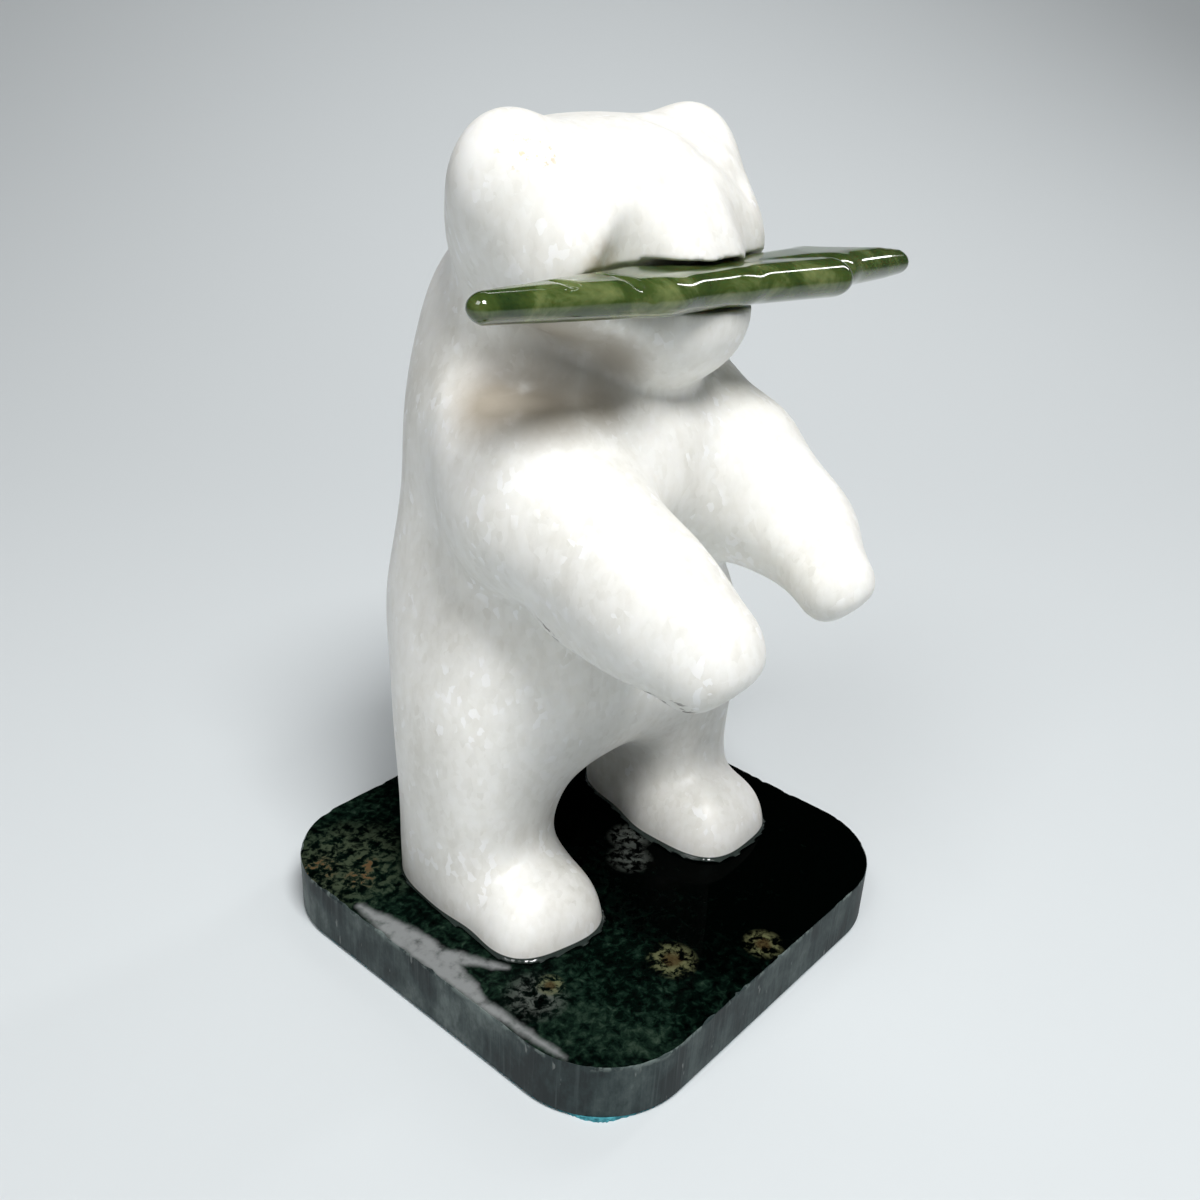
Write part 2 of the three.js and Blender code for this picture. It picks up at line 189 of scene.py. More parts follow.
def leg_form(points, side):
    foot = dict(FOOT, at=mirrored(FOOT["at"], side))
    leg = dict(LEG, at=mirrored(LEG["at"], side))
    splayed = turned(points, side * FOOT_SPLAY, foot["at"])
    return blend(lump(points, **leg), lump(splayed, **foot), SOFT["ankle"])


def arm_form(points, stations):
    shoulder, elbow, paw = stations
    arm = blend(limb(points, shoulder, elbow), limb(points, elbow, paw), SOFT["elbow"])
    past_end = (points - np.array(paw[0])) @ np.array(PAW_END) - PAW_REACH * paw[1]
    return carve(arm, -past_end, SOFT["paw"])


def head_form(points):
    local = turned(points, HEAD_TURN, SKULL["at"])
    distance = blend(lump(local, **SKULL), lump(local, **MUZZLE), SOFT["muzzle"])
    distance = blend(distance, lump(local, **JAW), SOFT["jaw"])
    for side in (-1, 1):
        for form, soft in ((CHEEK, SOFT["cheek"]), (EAR, SOFT["ear"])):
            placed = dict(form, at=mirrored(form["at"], side))
            distance = blend(distance, lump(local, **placed), soft)
        start, end = ((mirrored(at, side), radius * HOLLOW_SHARE[side]) for at, radius in HOLLOW)
        distance = carve(distance, limb(local, start, end), SOFT["hollow"])
    return distance


def bear_form(points):
    distance = blend(lump(points, **HIPS), lump(points, **CHEST), SOFT["waist"])
    distance = blend(distance, lump(points, **NECK), SOFT["neck"])
    distance = blend(distance, chain(points, SHOULDER, SOFT["ball"]), SOFT["shoulders"])
    for side in (-1, 1):
        distance = blend(distance, leg_form(points, side), SOFT["hip"])
        under = [(mirrored(at, side), radius) for at, radius in UNDER_ARM]
        distance = carve(distance, chain(points, under, SOFT["ball"]), SOFT["under_arm"])
    distance = carve(distance, chain(points, THROAT, SOFT["ball"]), SOFT["throat"])
    right_arm = blend(arm_form(points, RIGHT_ARM), lump(points, **FOREARM), SOFT["forearm"])
    for arm in (right_arm, arm_form(points, LEFT_ARM)):
        distance = blend(distance, arm, SOFT["arm"])
    return blend(distance, head_form(points), SOFT["head"])


# Fish, in hundredths of its length, nose towards -X, belly edge towards -Y. Its place in the
# mouth is in hundredths of the bear's height.

FISH_AT = (0, -15.5, 83)
FISH_BODY = [((-40.6, 0.2, 0), 2.05), ((-11.7, 1.5, 0), 6.15), ((5, 1.3, 0), 4.4)]
NEAR_TAIL = [((5, 1.3, 0), 4.4), ((27.5, 0.8, 0), 3.8)]
FAR_TAIL = [((6.6, 4.2, 0), 4.6), ((33.4, 7.8, 0), 6.15), ((55.3, 7.5, 0), 2.1)]
FISH_SOFT = 3

# Half thickness at places along the fish, for the room in the mouth and for the fish itself,
# and the share of it that the rim is rounded over
ROOM_TAPER = [(-43, 2.15), (-27, 2.55), (-8, 2.88), (8, 2.88), (28, 2.7), (57, 2.0)]
FISH_TAPER = [(-43, 2.2), (-27, 2.65), (-10, 2.88), (10, 2.88), (28, 3.05), (50, 2.75), (57, 2.2)]
RIM_SHARE = 0.98

# The faces fall away over this many half thicknesses from the rim, and the height over them
# counts by this share as a distance
CROWN_REACH = 1.4
CROWN_SLOPE = 0.6

# Carved lines: the loop on the nose and the groove behind the fin
NOSE_LOOP = [
    ((-36, 1.6, 2.5), 0.5),
    ((-29.5, 1.6, 2.7), 0.5),
    ((-27.6, -1.4, 2.6), 0.5),
    ((-30.5, -3.4, 1.7), 0.5),
    ((-37.5, -2.2, 1.6), 0.45),
]
FIN_GROOVE = [
    ((-20.5, 4, 2.9), 0.5),
    ((-18.6, -1, 3.0), 0.6),
    ((-17.2, -4.2, 1.9), 0.75),
    ((-16.2, -4.8, 0.4), 0.6),
]
GROOVE_JOIN = 0.6
GROOVE_SOFT = 0.7


def fish_outline(points):
    flat = points * np.array([1, 1, 0])
    outline = chain(flat, FISH_BODY, SOFT["ball"])
    for tail in (NEAR_TAIL, FAR_TAIL):
        outline = blend(outline, chain(flat, tail, SOFT["ball"]), FISH_SOFT)
    return outline


def fish_form(points, taper, grown=0.0):
    """The fish with flat faces and a round rim, grown by a length in millimetres."""
    half = np.interp(points[..., 0], *zip(*taper))
    edge = RIM_SHARE * half
    out = fish_outline(points) + edge
    up = np.abs(points[..., 2]) - half + edge
    past_rim = np.hypot(np.maximum(out, 0), np.maximum(up, 0))
    return np.minimum(np.maximum(out, up), 0) + past_rim - edge - grown * 100 / FISH_LENGTH


def carved_fish(points):
    """The fish with its two faces a little domed towards the edges, and its carved lines."""
    half = np.interp(points[..., 0], *zip(*FISH_TAPER))
    inward = np.clip(-fish_outline(points) / (CROWN_REACH * half), 0, 1)
    top = half * np.sqrt(1 - (1 - inward) ** 2)
    distance = fish_form(points, FISH_TAPER)
    distance = np.maximum(distance, (np.abs(points[..., 2]) - top) * CROWN_SLOPE)
    for groove in (NOSE_LOOP, FIN_GROOVE):
        distance = carve(distance, chain(points, groove, GROOVE_JOIN), GROOVE_SOFT)
    return distance


def to_fish(points):
    """Points on the bear in hundredths of its height, in hundredths of the fish's length."""
    c, s = math.cos(math.radians(FISH_TILT)), math.sin(math.radians(FISH_TILT))
    offset = (points - np.array(FISH_AT)) * BEAR_HEIGHT / FISH_LENGTH
    x, y, z = offset[..., 0], offset[..., 1], offset[..., 2]
    return np.stack([c * x - s * z, y, s * x + c * z], -1)


def room_form(points):
    """The fish with its clearance, in hundredths of the bear's height."""
    return fish_form(to_fish(points), ROOM_TAPER, FISH_CLEARANCE) * FISH_LENGTH / BEAR_HEIGHT


def bear_with_mouth(points):
    room = room_form(points)
    slot = room_form(points - np.array([0, 0, MOUTH_GAP * 100 / BEAR_HEIGHT]))
    room = np.minimum(room, np.maximum(slot, np.abs(points[..., 0]) - SLOT_HALF))
    body = bear_form(points) - GLUE_WIDTH * np.exp(-(points[..., 2] / GLUE_HEIGHT) ** 2)
    for crease in CREASES:
        gap = np.maximum(chain(points, crease, CREASE_JOIN), 0)
        body = body + CREASE_DEPTH * np.exp(-(gap / CREASE_WIDTH) ** 2)
    return np.maximum(carve(body, room, MOUTH_SOFT), -points[..., 2])


# Surfaces. Corners settle onto a surface in rounds, by the slope felt over a small nudge, no
# further than a share of the grid's finest step.

SETTLE_ROUNDS = 2
SETTLE_NUDGE = 0.02
SETTLE_LIMIT = 0.45
LEAST_STEEPNESS = 0.2


def surface_of(form, axes):
    """Corners and four-sided faces where a form is zero, on a grid whose steps may differ."""
    grid = np.stack(np.meshgrid(*axes, indexing="ij"), -1)
    values = form(grid)
    cells = tuple(size - 1 for size in values.shape)
    total = np.zeros(cells + (3,))
    count = np.zeros(cells)
    crossings = []
    for axis in range(3):
        lower = [slice(None)] * 3
        upper = [slice(None)] * 3
        lower[axis], upper[axis] = slice(0, -1), slice(1, None)
        a, b = values[tuple(lower)], values[tuple(upper)]
        crossed = (a < 0) != (b < 0)
        share = np.where(crossed, a / np.where(crossed, a - b, 1), 0)
        place = grid[tuple(lower)].copy()
        place[..., axis] += share * (grid[tuple(upper)][..., axis] - place[..., axis])
        crossings.append((crossed, a < 0))
        others = [other for other in range(3) if other != axis]
        for first in (0, 1):
            for second in (0, 1):
                part = [slice(None)] * 3
                for other, start in zip(others, (first, second)):
                    part[other] = slice(start, start + cells[other])
                total += np.where(crossed[tuple(part)][..., None], place[tuple(part)], 0)
                count += crossed[tuple(part)]
    number = np.full(cells, -1)
    used = count > 0
    number[used] = np.arange(used.sum())
    corners = total[used] / count[used][:, None]
    faces = []
    for axis, (crossed, inside) in enumerate(crossings):
        others = [(axis + 1) % 3, (axis + 2) % 3]
        at = np.argwhere(crossed)
        keep = [(at[:, other] > 0) & (at[:, other] < cells[other]) for other in others]
        at = at[np.all(keep, axis=0)]
        ring = []
        for steps in ((0, 0), (1, 0), (1, 1), (0, 1)):
            cell = at.copy()
            for other, step in zip(others, steps):
                cell[:, other] -= step
            ring.append(number[tuple(cell.T)])
        ring = np.stack(ring, 1)
        flip = ~inside[tuple(at.T)]
        ring[flip] = ring[flip][:, ::-1]
        faces.append(ring)
    finest = min(np.diff(places).min() for places in axes)
    return settled(form, corners, finest), np.concatenate(faces)


def settled(form, corners, step):
    """Corners moved down the form's slope onto its surface, by less than half a step."""
    start = corners.copy()
    for _ in range(SETTLE_ROUNDS):
        value = form(corners)
        nudged = [form(corners + SETTLE_NUDGE * np.eye(3)[axis]) for axis in range(3)]
        slope = np.stack([(ahead - value) / SETTLE_NUDGE for ahead in nudged], -1)
        steepness = np.maximum((slope * slope).sum(-1), LEAST_STEEPNESS)
        corners = corners - slope * (value / steepness)[:, None]
    travel = corners - start
    length = np.linalg.norm(travel, axis=1, keepdims=True)
    return start + travel * np.minimum(1, SETTLE_LIMIT * step / np.maximum(length, 1e-9))


def new_piece(name, corners, faces, material, smooth=True):
    """A mesh piece, from corners in millimetres in the frame's axes."""
    mesh = bpy.data.meshes.new(name)
    rings = [list(map(int, face)) for face in faces]
    mesh.from_pydata((np.asarray(corners) * MM).tolist(), [], rings)
    mesh.validate()
    mesh.polygons.foreach_set("use_smooth", [smooth] * len(mesh.polygons))
    mesh.materials.append(material)
    piece = bpy.data.objects.new(name, mesh)
    bpy.context.scene.collection.objects.link(piece)
    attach(piece, "root")
    return piece


def spread(low, high, step, fine=()):
    """Places along one axis, step apart, and finer within (start, end, step) stretches."""
    places = [low]
    while places[-1] < high:
        here = [size for start, end, size in fine if start <= places[-1] < end]
        places.append(places[-1] + (here[0] if here else step))
    return np.array(places)


def to_frame(points):
    """Points on the bear, in millimetres with its soles at z = 0, in the frame's axes."""
    c, s = math.cos(math.radians(BEAR_TURN)), math.sin(math.radians(BEAR_TURN))
    x, y = points[:, 0], points[:, 1]
    return np.stack([
        c * x - s * y + BEAR_SHIFT[0],
        s * x + c * y + BEAR_SHIFT[1],
        points[:, 2] + SLAB_TOP + GLUE_LINE,
    ], 1)


def from_fish(points):
    """Points on the fish, in hundredths of its length, in millimetres on the bear."""
    c, s = math.cos(math.radians(FISH_TILT)), math.sin(math.radians(FISH_TILT))
    x, y, z = (points * FISH_LENGTH / 100).T
    return np.stack([c * x + s * z, y, -s * x + c * z], 1) + np.array(FISH_AT) * BEAR_HEIGHT / 100


# Materials

class Nodes:
    """A material's node tree, built by calls that return each node's output."""

    def __init__(self, name):
        self.material = bpy.data.materials.new(name)
        self.material.use_nodes = True
        self.tree = self.material.node_tree
        self.shader = self.tree.nodes["Principled BSDF"]

    def fill(self, socket, value):
        """Gives a socket another node's output, or a value of its own."""
        if isinstance(value, bpy.types.NodeSocket):
            self.tree.links.new(value, socket)
        else:
            socket.default_value = value

    def set(self, node, **inputs):
        for name, value in inputs.items():
            self.fill(node.inputs[name], value)

    def place(self):
        return self.tree.nodes.new("ShaderNodeTexCoord").outputs["Object"]

    def split(self, vector):
        node = self.tree.nodes.new("ShaderNodeSeparateXYZ")
        self.tree.links.new(vector, node.inputs[0])
        return node.outputs

    def scaled(self, vector, scale):
        node = self.tree.nodes.new("ShaderNodeMapping")
        self.set(node, Vector=vector, Scale=scale)
        return node.outputs["Vector"]

    def noise(self, vector, scale, detail=4.0, rough=0.55, warp=0.0, output="Fac"):
        node = self.tree.nodes.new("ShaderNodeTexNoise")
        self.set(node, Vector=vector, Scale=scale)
        self.set(node, Detail=detail, Roughness=rough, Distortion=warp)
        return node.outputs[output]

    def grains(self, vector, scale):
        """A value by chance for each of the cells that fill the stone."""
        node = self.tree.nodes.new("ShaderNodeTexVoronoi")
        self.set(node, Vector=vector, Scale=scale)
        return self.vector("DOT_PRODUCT", node.outputs["Color"], (0.33, 0.33, 0.33), output="Value")

    def ramp(self, value, stops):
        node = self.tree.nodes.new("ShaderNodeValToRGB")
        elements = node.color_ramp.elements
        while len(elements) < len(stops):
            elements.new(0.5)
        for element, (position, color) in zip(elements, stops):
            element.position = position
            element.color = (*color, 1)
        self.tree.links.new(value, node.inputs["Fac"])
        return node.outputs["Color"]

    def tinted(self, color, tone, *shares):
        """A colour mixed towards a tone, by the product of the shares."""
        share = shares[0]
        for other in shares[1:]:
            share = self.math("MULTIPLY", share, other)
        node = self.tree.nodes.new("ShaderNodeMix")
        node.data_type = "RGBA"
        tone = (*tone, 1) if isinstance(tone, tuple) else tone
        for place, value in ((0, share), (6, color), (7, tone)):
            self.fill(node.inputs[place], value)
        return node.outputs[2]

    def math(self, kind, a, b, clamp=False):
        node = self.tree.nodes.new("ShaderNodeMath")
        node.operation = kind
        node.use_clamp = clamp
        self.fill(node.inputs[0], a)
        self.fill(node.inputs[1], b)
        return node.outputs[0]

    def weighed(self, *terms):
        """The sum of values, each times its weight."""
        total = None
        for value, weight in terms:
            term = self.math("MULTIPLY", value, weight)
            total = term if total is None else self.math("ADD", total, term)
        return total

    def vector(self, kind, a, b, output="Vector"):
        node = self.tree.nodes.new("ShaderNodeVectorMath")
        node.operation = kind
        self.fill(node.inputs[0], a)
        self.fill(node.inputs[1], b)
        return node.outputs[output]

    def near(self, vector, at, radius, hardness):
        """1 at a place in millimetres, falling to 0 at the radius."""
        gap = self.vector("DISTANCE", vector, tuple(value * MM for value in at), output="Value")
        share = self.math("DIVIDE", gap, radius * MM)
        fall = self.math("SUBTRACT", 1.0, share, clamp=True)
        return self.math("MULTIPLY", fall, hardness, clamp=True)

    def stroke(self, vector, start, end):
        """Gap from a tapering stroke on the ground plane, less than zero inside it."""
        (first, first_half), (last, last_half) = start, end
        along = Vector((last[0] - first[0], last[1] - first[1], 0)) * MM
        offset = self.vector("SUBTRACT", vector, (first[0] * MM, first[1] * MM, 0))
        run = self.vector("DOT_PRODUCT", offset, tuple(along.normalized()), output="Value")
        share = self.math("DIVIDE", run, along.length, clamp=True)
        foot = self.vector("MULTIPLY", share, tuple(along))
        gap = self.vector("DISTANCE", offset, foot, output="Value")
        half = self.math("MULTIPLY", share, (last_half - first_half) * MM)
        half = self.math("ADD", half, first_half * MM)
        return self.math("SUBTRACT", gap, half)

    def step(self, value, low, high):
        """0 at low and beyond it, 1 at high and beyond it, with a smooth change between them."""
        node = self.tree.nodes.new("ShaderNodeMapRange")
        node.interpolation_type = "SMOOTHSTEP"
        self.set(node, **{"Value": value, "From Min": low, "From Max": high})
        return node.outputs["Result"]

    def bump(self, height, strength, distance):
        node = self.tree.nodes.new("ShaderNodeBump")
        self.set(node, Height=height, Strength=strength, Distance=distance * MM)
        return node.outputs["Normal"]


# Places on the marble, in the frame's axes: stains as a place and a radius, at the throat and jaw
# with painted shadow in them, the marks along the near forearm, and the pits on the near ear
THROAT_STAINS_AND_SHADOW = [((-28, 3, 124.5), 13), ((-24, -3, 127), 15), ((-15, -10, 126), 10)]
JAW_STAIN_AND_SHADOW = ((-20, -8, 134), 15)
MOUTH_STAIN = ((-19.3, -14.2, 146.2), 5.5)
ARM_MARKS = [(-29.8, -14 - 5.7 * place, 83.8 - 0.58 * place) for place in range(6)]
EAR_PITS = [(-27.3, -0.2, 163.1), (-23.5, -2, 161.9)]
MARK_REACH = 4

MARBLE_TONES = [
    (0.34, (0.76, 0.745, 0.69)),
    (0.48, (0.865, 0.855, 0.81)),
    (0.62, (0.935, 0.93, 0.895)),
]
# White of the crystal clusters: partly their own paler colour, partly painted glints.
CRYSTAL_AND_GLINT_WHITE = (1.0, 1.0, 0.99)
THROAT_BROWN_AND_SHADE = (0.32, 0.27, 0.20)
JAW_BROWN_AND_SHADE = (0.40, 0.36, 0.29)
MOUTH_OCHRE = (0.46, 0.34, 0.18)
MARK_BLACK = (0.12, 0.10, 0.08)
PIT_OCHRE = (0.62, 0.52, 0.34)
GLUE_BLACK = (0.03, 0.04, 0.036)

# How far the glue's dark colour climbs the feet from the soles, and over what it fades
BEAD_RISE = 0.8
BEAD_FADE = 0.1


def white_marble():
    """Coarse-grained marble with white crystal clusters whose glints are painted in, stains with
    painted shadow in them at the throat and jaw, dark marks and pits, and dark glue at the soles.
    """
    n = Nodes("white_marble")
    at = n.place()
    cloud = n.noise(at, 60)
    upright = n.noise(n.scaled(at, (1, 1, 0.4)), 330, detail=3, rough=0.6)
    shake = n.vector("MULTIPLY", n.noise(at, 700, output="Color"), (0.001,) * 3)
    crystal = n.grains(n.vector("ADD", n.scaled(at, (1, 1, 0.7)), shake), 800)
    color = n.ramp(n.weighed((cloud, 0.50), (upright, 0.33), (crystal, 0.17)), MARBLE_TONES)
    face = n.step(crystal, 0.64, 0.70)
    # Paler crystal clusters, with white painted in for their glints.
    crystal_and_glint = n.math("MULTIPLY", face, n.step(n.noise(at, 100, detail=2), 0.52, 0.60))
    color = n.tinted(color, CRYSTAL_AND_GLINT_WHITE, crystal_and_glint, 0.6)

    # Brown at the throat: a real stain with the shadow under the head and fish painted into it.
    stain_and_shade = 0.0
    for place, radius in THROAT_STAINS_AND_SHADOW:
        stain_and_shade = n.math("MAXIMUM", stain_and_shade, n.near(at, place, radius, 1.7))
    color = n.tinted(color, THROAT_BROWN_AND_SHADE, stain_and_shade, n.step(n.noise(at, 90), 0.1, 0.45), 0.85)
    # Brown on the jaw's side: a stain with the fish's shadow painted into it.
    stain_and_shade = n.near(at, *JAW_STAIN_AND_SHADOW, 1.8)
    color = n.tinted(color, JAW_BROWN_AND_SHADE, stain_and_shade, n.step(n.noise(at, 110), 0.15, 0.5), 0.45)
    stain_and_shade = n.near(at, *MOUTH_STAIN, 1.2)
    color = n.tinted(color, MOUTH_OCHRE, stain_and_shade, n.step(n.noise(at, 300), 0.3, 0.6), 0.7)
    streaky = n.step(n.noise(n.scaled(at, (1, 0.35, 1)), 800, detail=2), 0.54, 0.60)
    for place in ARM_MARKS:
        color = n.tinted(color, MARK_BLACK, n.near(at, place, MARK_REACH, 2), streaky)
    speck = n.step(n.noise(at, 900, detail=2), 0.60, 0.66)
    for place in EAR_PITS:
        color = n.tinted(color, PIT_OCHRE, n.near(at, place, MARK_REACH, 1.5), speck)

    bead_top = SLAB_TOP + GLUE_LINE + BEAD_RISE
    above = n.step(n.split(at)["Z"], (bead_top - BEAD_FADE) * MM, (bead_top + BEAD_FADE) * MM)
    glue = n.math("SUBTRACT", 1.0, above)
    color = n.tinted(color, GLUE_BLACK, glue)
    rough = n.math("SUBTRACT", 0.40, n.math("MULTIPLY", crystal_and_glint, 0.12))
    rough = n.math("SUBTRACT", rough, n.math("MULTIPLY", glue, 0.3))
    relief = n.weighed((crystal, 0.6), (upright, 0.4))
    n.set(n.shader, **{
        "Base Color": color,
        "Roughness": rough,
        "IOR": 1.5,
        "Subsurface Weight": 0.2,
        "Subsurface Scale": 0.0025,
        "Subsurface Radius": (1.0, 0.9, 0.75),
        "Normal": n.bump(relief, 0.12, 0.25),
    })
    return n.material


JADE_TONES = [
    (0.3, (0.014, 0.034, 0.008)),
    (0.5, (0.05, 0.08, 0.016)),
    (0.66, (0.15, 0.185, 0.065)),
]


def green_jade():
    """Mottled green stone with a high polish."""
    n = Nodes("green_jade")
    blotch = n.noise(n.place(), 90, detail=6, rough=0.6, warp=0.6)
    n.set(n.shader, **{
        "Base Color": n.ramp(blotch, JADE_TONES),
        "Roughness": 0.07,
        "IOR": 1.54,
        "Subsurface Weight": 0.2,
        "Subsurface Scale": 0.002,
        "Coat Weight": 0.5,
        "Coat Roughness": 0.05,
    })
    return n.material


# Places on the slab's top: patches, rosettes and rust as a place and a radius, and the painted
# reflection of a window as strokes through a place and a half width each
PALE_PATCHES = [((3.5, -9.5), 5.5), ((9.5, -4.5), 5.5), ((-41.5, -24), 7)]
ROSETTES = [((-15.1, -36.5), 5.6), ((1.8, -47.0), 4.6), ((-37.3, -23.9), 3.2)]
ROSETTE_HEART = 0.45
GREEN_CORNER = ((-42, 33), 17)
RUST = [((-47.5, 36), 5), ((-43, 27), 4), ((-39, 30), 3)]
WINDOW_REFLECTION_STROKES = [
    [
        ((-48.6, 20), 0.7),
        ((-48.2, 8), 2.8),
        ((-47.6, -3.2), 3.2),
        ((-49.8, -18), 1.2),
        ((-48.6, -38), 0.5),
    ],
    [((-46.8, -2.6), 2.4), ((-39.9, -14.6), 0.3)],
]

# The green is paler up to the first of these places across the slab, and dark from the second on
PALE_SIDE = (-34, 22)

POLISHED_TONES = [
    (0.66, (0.0002, 0.0006, 0.0004)),
    (0.77, (0.0010, 0.0035, 0.0024)),
    (0.86, (0.0060, 0.016, 0.010)),
    (1.00, (0.030, 0.050, 0.034)),
]
PATCH_GREY = (0.085, 0.095, 0.085)
CORNER_GREEN = (0.05, 0.064, 0.038)
ROSETTE_OCHRE = (0.11, 0.115, 0.055)
HEART_BROWN = (0.045, 0.03, 0.012)
RUST_BROWN = (0.10, 0.06, 0.028)
WINDOW_REFLECTION_GREY = (0.24, 0.25, 0.25)
SAWN_TONES = [
    (0.40, (0.006, 0.013, 0.014)),
    (0.48, (0.018, 0.032, 0.033)),
    (0.56, (0.045, 0.064, 0.062)),
    (0.66, (0.12, 0.15, 0.145)),
]
SAW_GREY = (0.075, 0.10, 0.10)
SCRATCH_GREY = (0.24, 0.26, 0.25)
CHIP_GREY = (0.22, 0.27, 0.25)


def polished_top(n, at, x):
    """Dark green flecks with pale patches, rosettes, rust, and a painted reflection of a window
    along the left edge.
    """
    flat = n.scaled(at, (1, 1, 0))
    fleck = n.noise(flat, 520, detail=5, rough=0.62, warp=0.4)
    cloud = n.noise(flat, 70, detail=5, rough=0.6)
    left = n.math("SUBTRACT", 1.0, n.step(x, PALE_SIDE[0] * MM, PALE_SIDE[1] * MM))
    color = n.ramp(n.weighed((cloud, 0.45), (left, 0.25), (fleck, 0.65)), POLISHED_TONES)
    grit = n.step(fleck, 0.44, 0.60)

    def close(place, radius, hardness):
        return n.near(flat, (*place, 0), radius, hardness)

    for place, radius in PALE_PATCHES:
        color = n.tinted(color, PATCH_GREY, close(place, radius, 1.7), grit, 0.75)
    color = n.tinted(color, CORNER_GREEN, close(*GREEN_CORNER, 1.8), grit, 0.8)
    for place, radius in ROSETTES:
        color = n.tinted(color, ROSETTE_OCHRE, close(place, radius, 2.2), grit, 0.85)
        heart = close(place, radius * ROSETTE_HEART, 2)
        color = n.tinted(color, HEART_BROWN, heart, n.step(fleck, 0.38, 0.5), 0.8)
    for place, radius in RUST:
        color = n.tinted(color, RUST_BROWN, close(place, radius, 2), n.step(fleck, 0.52, 0.60))

    # Painted reflection of a window: a pale grey band along the slab's left edge.
    window_reflection = 1.0
    for stroke in WINDOW_REFLECTION_STROKES:
        for start, end in zip(stroke[:-1], stroke[1:]):
            window_reflection = n.math("MINIMUM", window_reflection, n.stroke(flat, start, end))
    wave = n.math("MULTIPLY", n.math("SUBTRACT", n.noise(flat, 260, detail=3), 0.5), 2.0 * MM)
    window_reflection = n.step(n.math("ADD", window_reflection, wave), 0.9 * MM, -1.1 * MM)
    return n.tinted(color, WINDOW_REFLECTION_GREY, window_reflection, n.step(n.noise(flat, 350), 0.1, 0.55), 0.9)


def sawn_sides(n, at, z, cloudy, saw):
    """Cloudy green with upright saw marks, scratches, and paler chips along the top edge."""
    color = n.ramp(cloudy, SAWN_TONES)
    color = n.tinted(color, SAW_GREY, n.step(saw, 0.5, 0.75), 0.35)
    scratch = n.step(n.noise(n.scaled(at, (1, 1, 0.3)), 480, detail=3), 0.67, 0.72)
    color = n.tinted(color, SCRATCH_GREY, scratch, 0.5)
    rim = n.step(z, (SLAB_TOP - 1.4) * MM, (SLAB_TOP - 0.15) * MM)
    return n.tinted(color, CHIP_GREY, rim, n.step(n.noise(at, 420), 0.48, 0.6), 0.5)


def dark_serpentine():
    """Polished on top, and matt and saw-marked on the sides."""
    n = Nodes("dark_serpentine")
    at = n.place()
    parts = n.split(at)
    x, z = parts["X"], parts["Z"]
    top = n.step(z, (SLAB_TOP - 0.06) * MM, (SLAB_TOP - 0.03) * MM)
    cloudy = n.noise(n.scaled(at, (1, 1, 0.6)), 90, detail=7, rough=0.66)
    saw = n.noise(n.scaled(at, (1, 1, 0.04)), 1100, detail=2)
    relief = n.math("MULTIPLY", n.math("SUBTRACT", 1.0, top), n.math("ADD", saw, cloudy))
    n.set(n.shader, **{
        "Base Color": n.tinted(sawn_sides(n, at, z, cloudy, saw), polished_top(n, at, x), top),
        "Roughness": n.math("SUBTRACT", 0.62, n.math("MULTIPLY", top, 0.585)),
        "Specular IOR Level": n.math("SUBTRACT", 0.4, n.math("MULTIPLY", top, 0.392)),
        "Normal": n.bump(relief, 0.35, 0.25),
    })
    return n.material


FELT_TONES = [(0.35, (0.02, 0.16, 0.20)), (0.65, (0.08, 0.36, 0.42))]


def teal_felt():
    n = Nodes("teal_felt")
    fuzz = n.noise(n.place(), 900, detail=3)
    n.set(n.shader, **{"Base Color": n.ramp(fuzz, FELT_TONES), "Roughness": 0.95})
    return n.material


# Pieces

# The bear's grid: its reach and step, with finer levels at the soles and at the mouth
BEAR_REACH = [(-30, 30), (-40, 30), (-0.6, 104)]
BEAR_STEP = 0.56
FINE_LEVELS = [(-0.6, 1.2, 0.15), (80, 87, 0.3)]

# The fish's grid
FISH_REACH = [(-47, 59), (-8, 17), (-3.5, 3.5)]
FISH_STEPS = (0.38, 0.38, 0.31)


def make_bear():
    x, y, z = BEAR_REACH
    axes = (spread(*x, BEAR_STEP), spread(*y, BEAR_STEP), spread(*z, BEAR_STEP, FINE_LEVELS))
    corners, faces = surface_of(bear_with_mouth, axes)
    corners = to_frame(corners * BEAR_HEIGHT / 100)
    piece = new_piece("marble_bear", corners, faces, white_marble())
    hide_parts("bear")


def make_fish():
    axes = [spread(*reach, step) for reach, step in zip(FISH_REACH, FISH_STEPS)]
    corners, faces = surface_of(carved_fish, axes)
    corners = to_frame(from_fish(corners))
    piece = new_piece("jade_fish", corners, faces, green_jade())
    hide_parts("fish")


# The slab's worn top edge: its least wear, how much more it may be, and the chips
SLAB_EDGE_STEP = 0.8
SLAB_ROWS = 6
EDGE_WEAR = 0.16
EDGE_WEAR_MORE = 0.10
CHIP_COUNT = 46
CHIP_HALVES = (0.8, 3.2)
CHIP_DEPTHS = (0.2, 0.75)
DROP_SHARES = (0.7, 1.3)
BREAK_IN = 0.3
BREAK_DOWN = 0.35

# The pad's ragged edge, and where it is pulled out
PAD_EDGE_STEP = 0.4
PAD_LEVELS = (0, 0.3, 0.65, 1)
PAD_FUZZ = 0.15
PAD_PULLED_AT = (-45.5, -44.8)
PAD_PULLED = 1.0
PAD_PULLED_REACH = 4.5


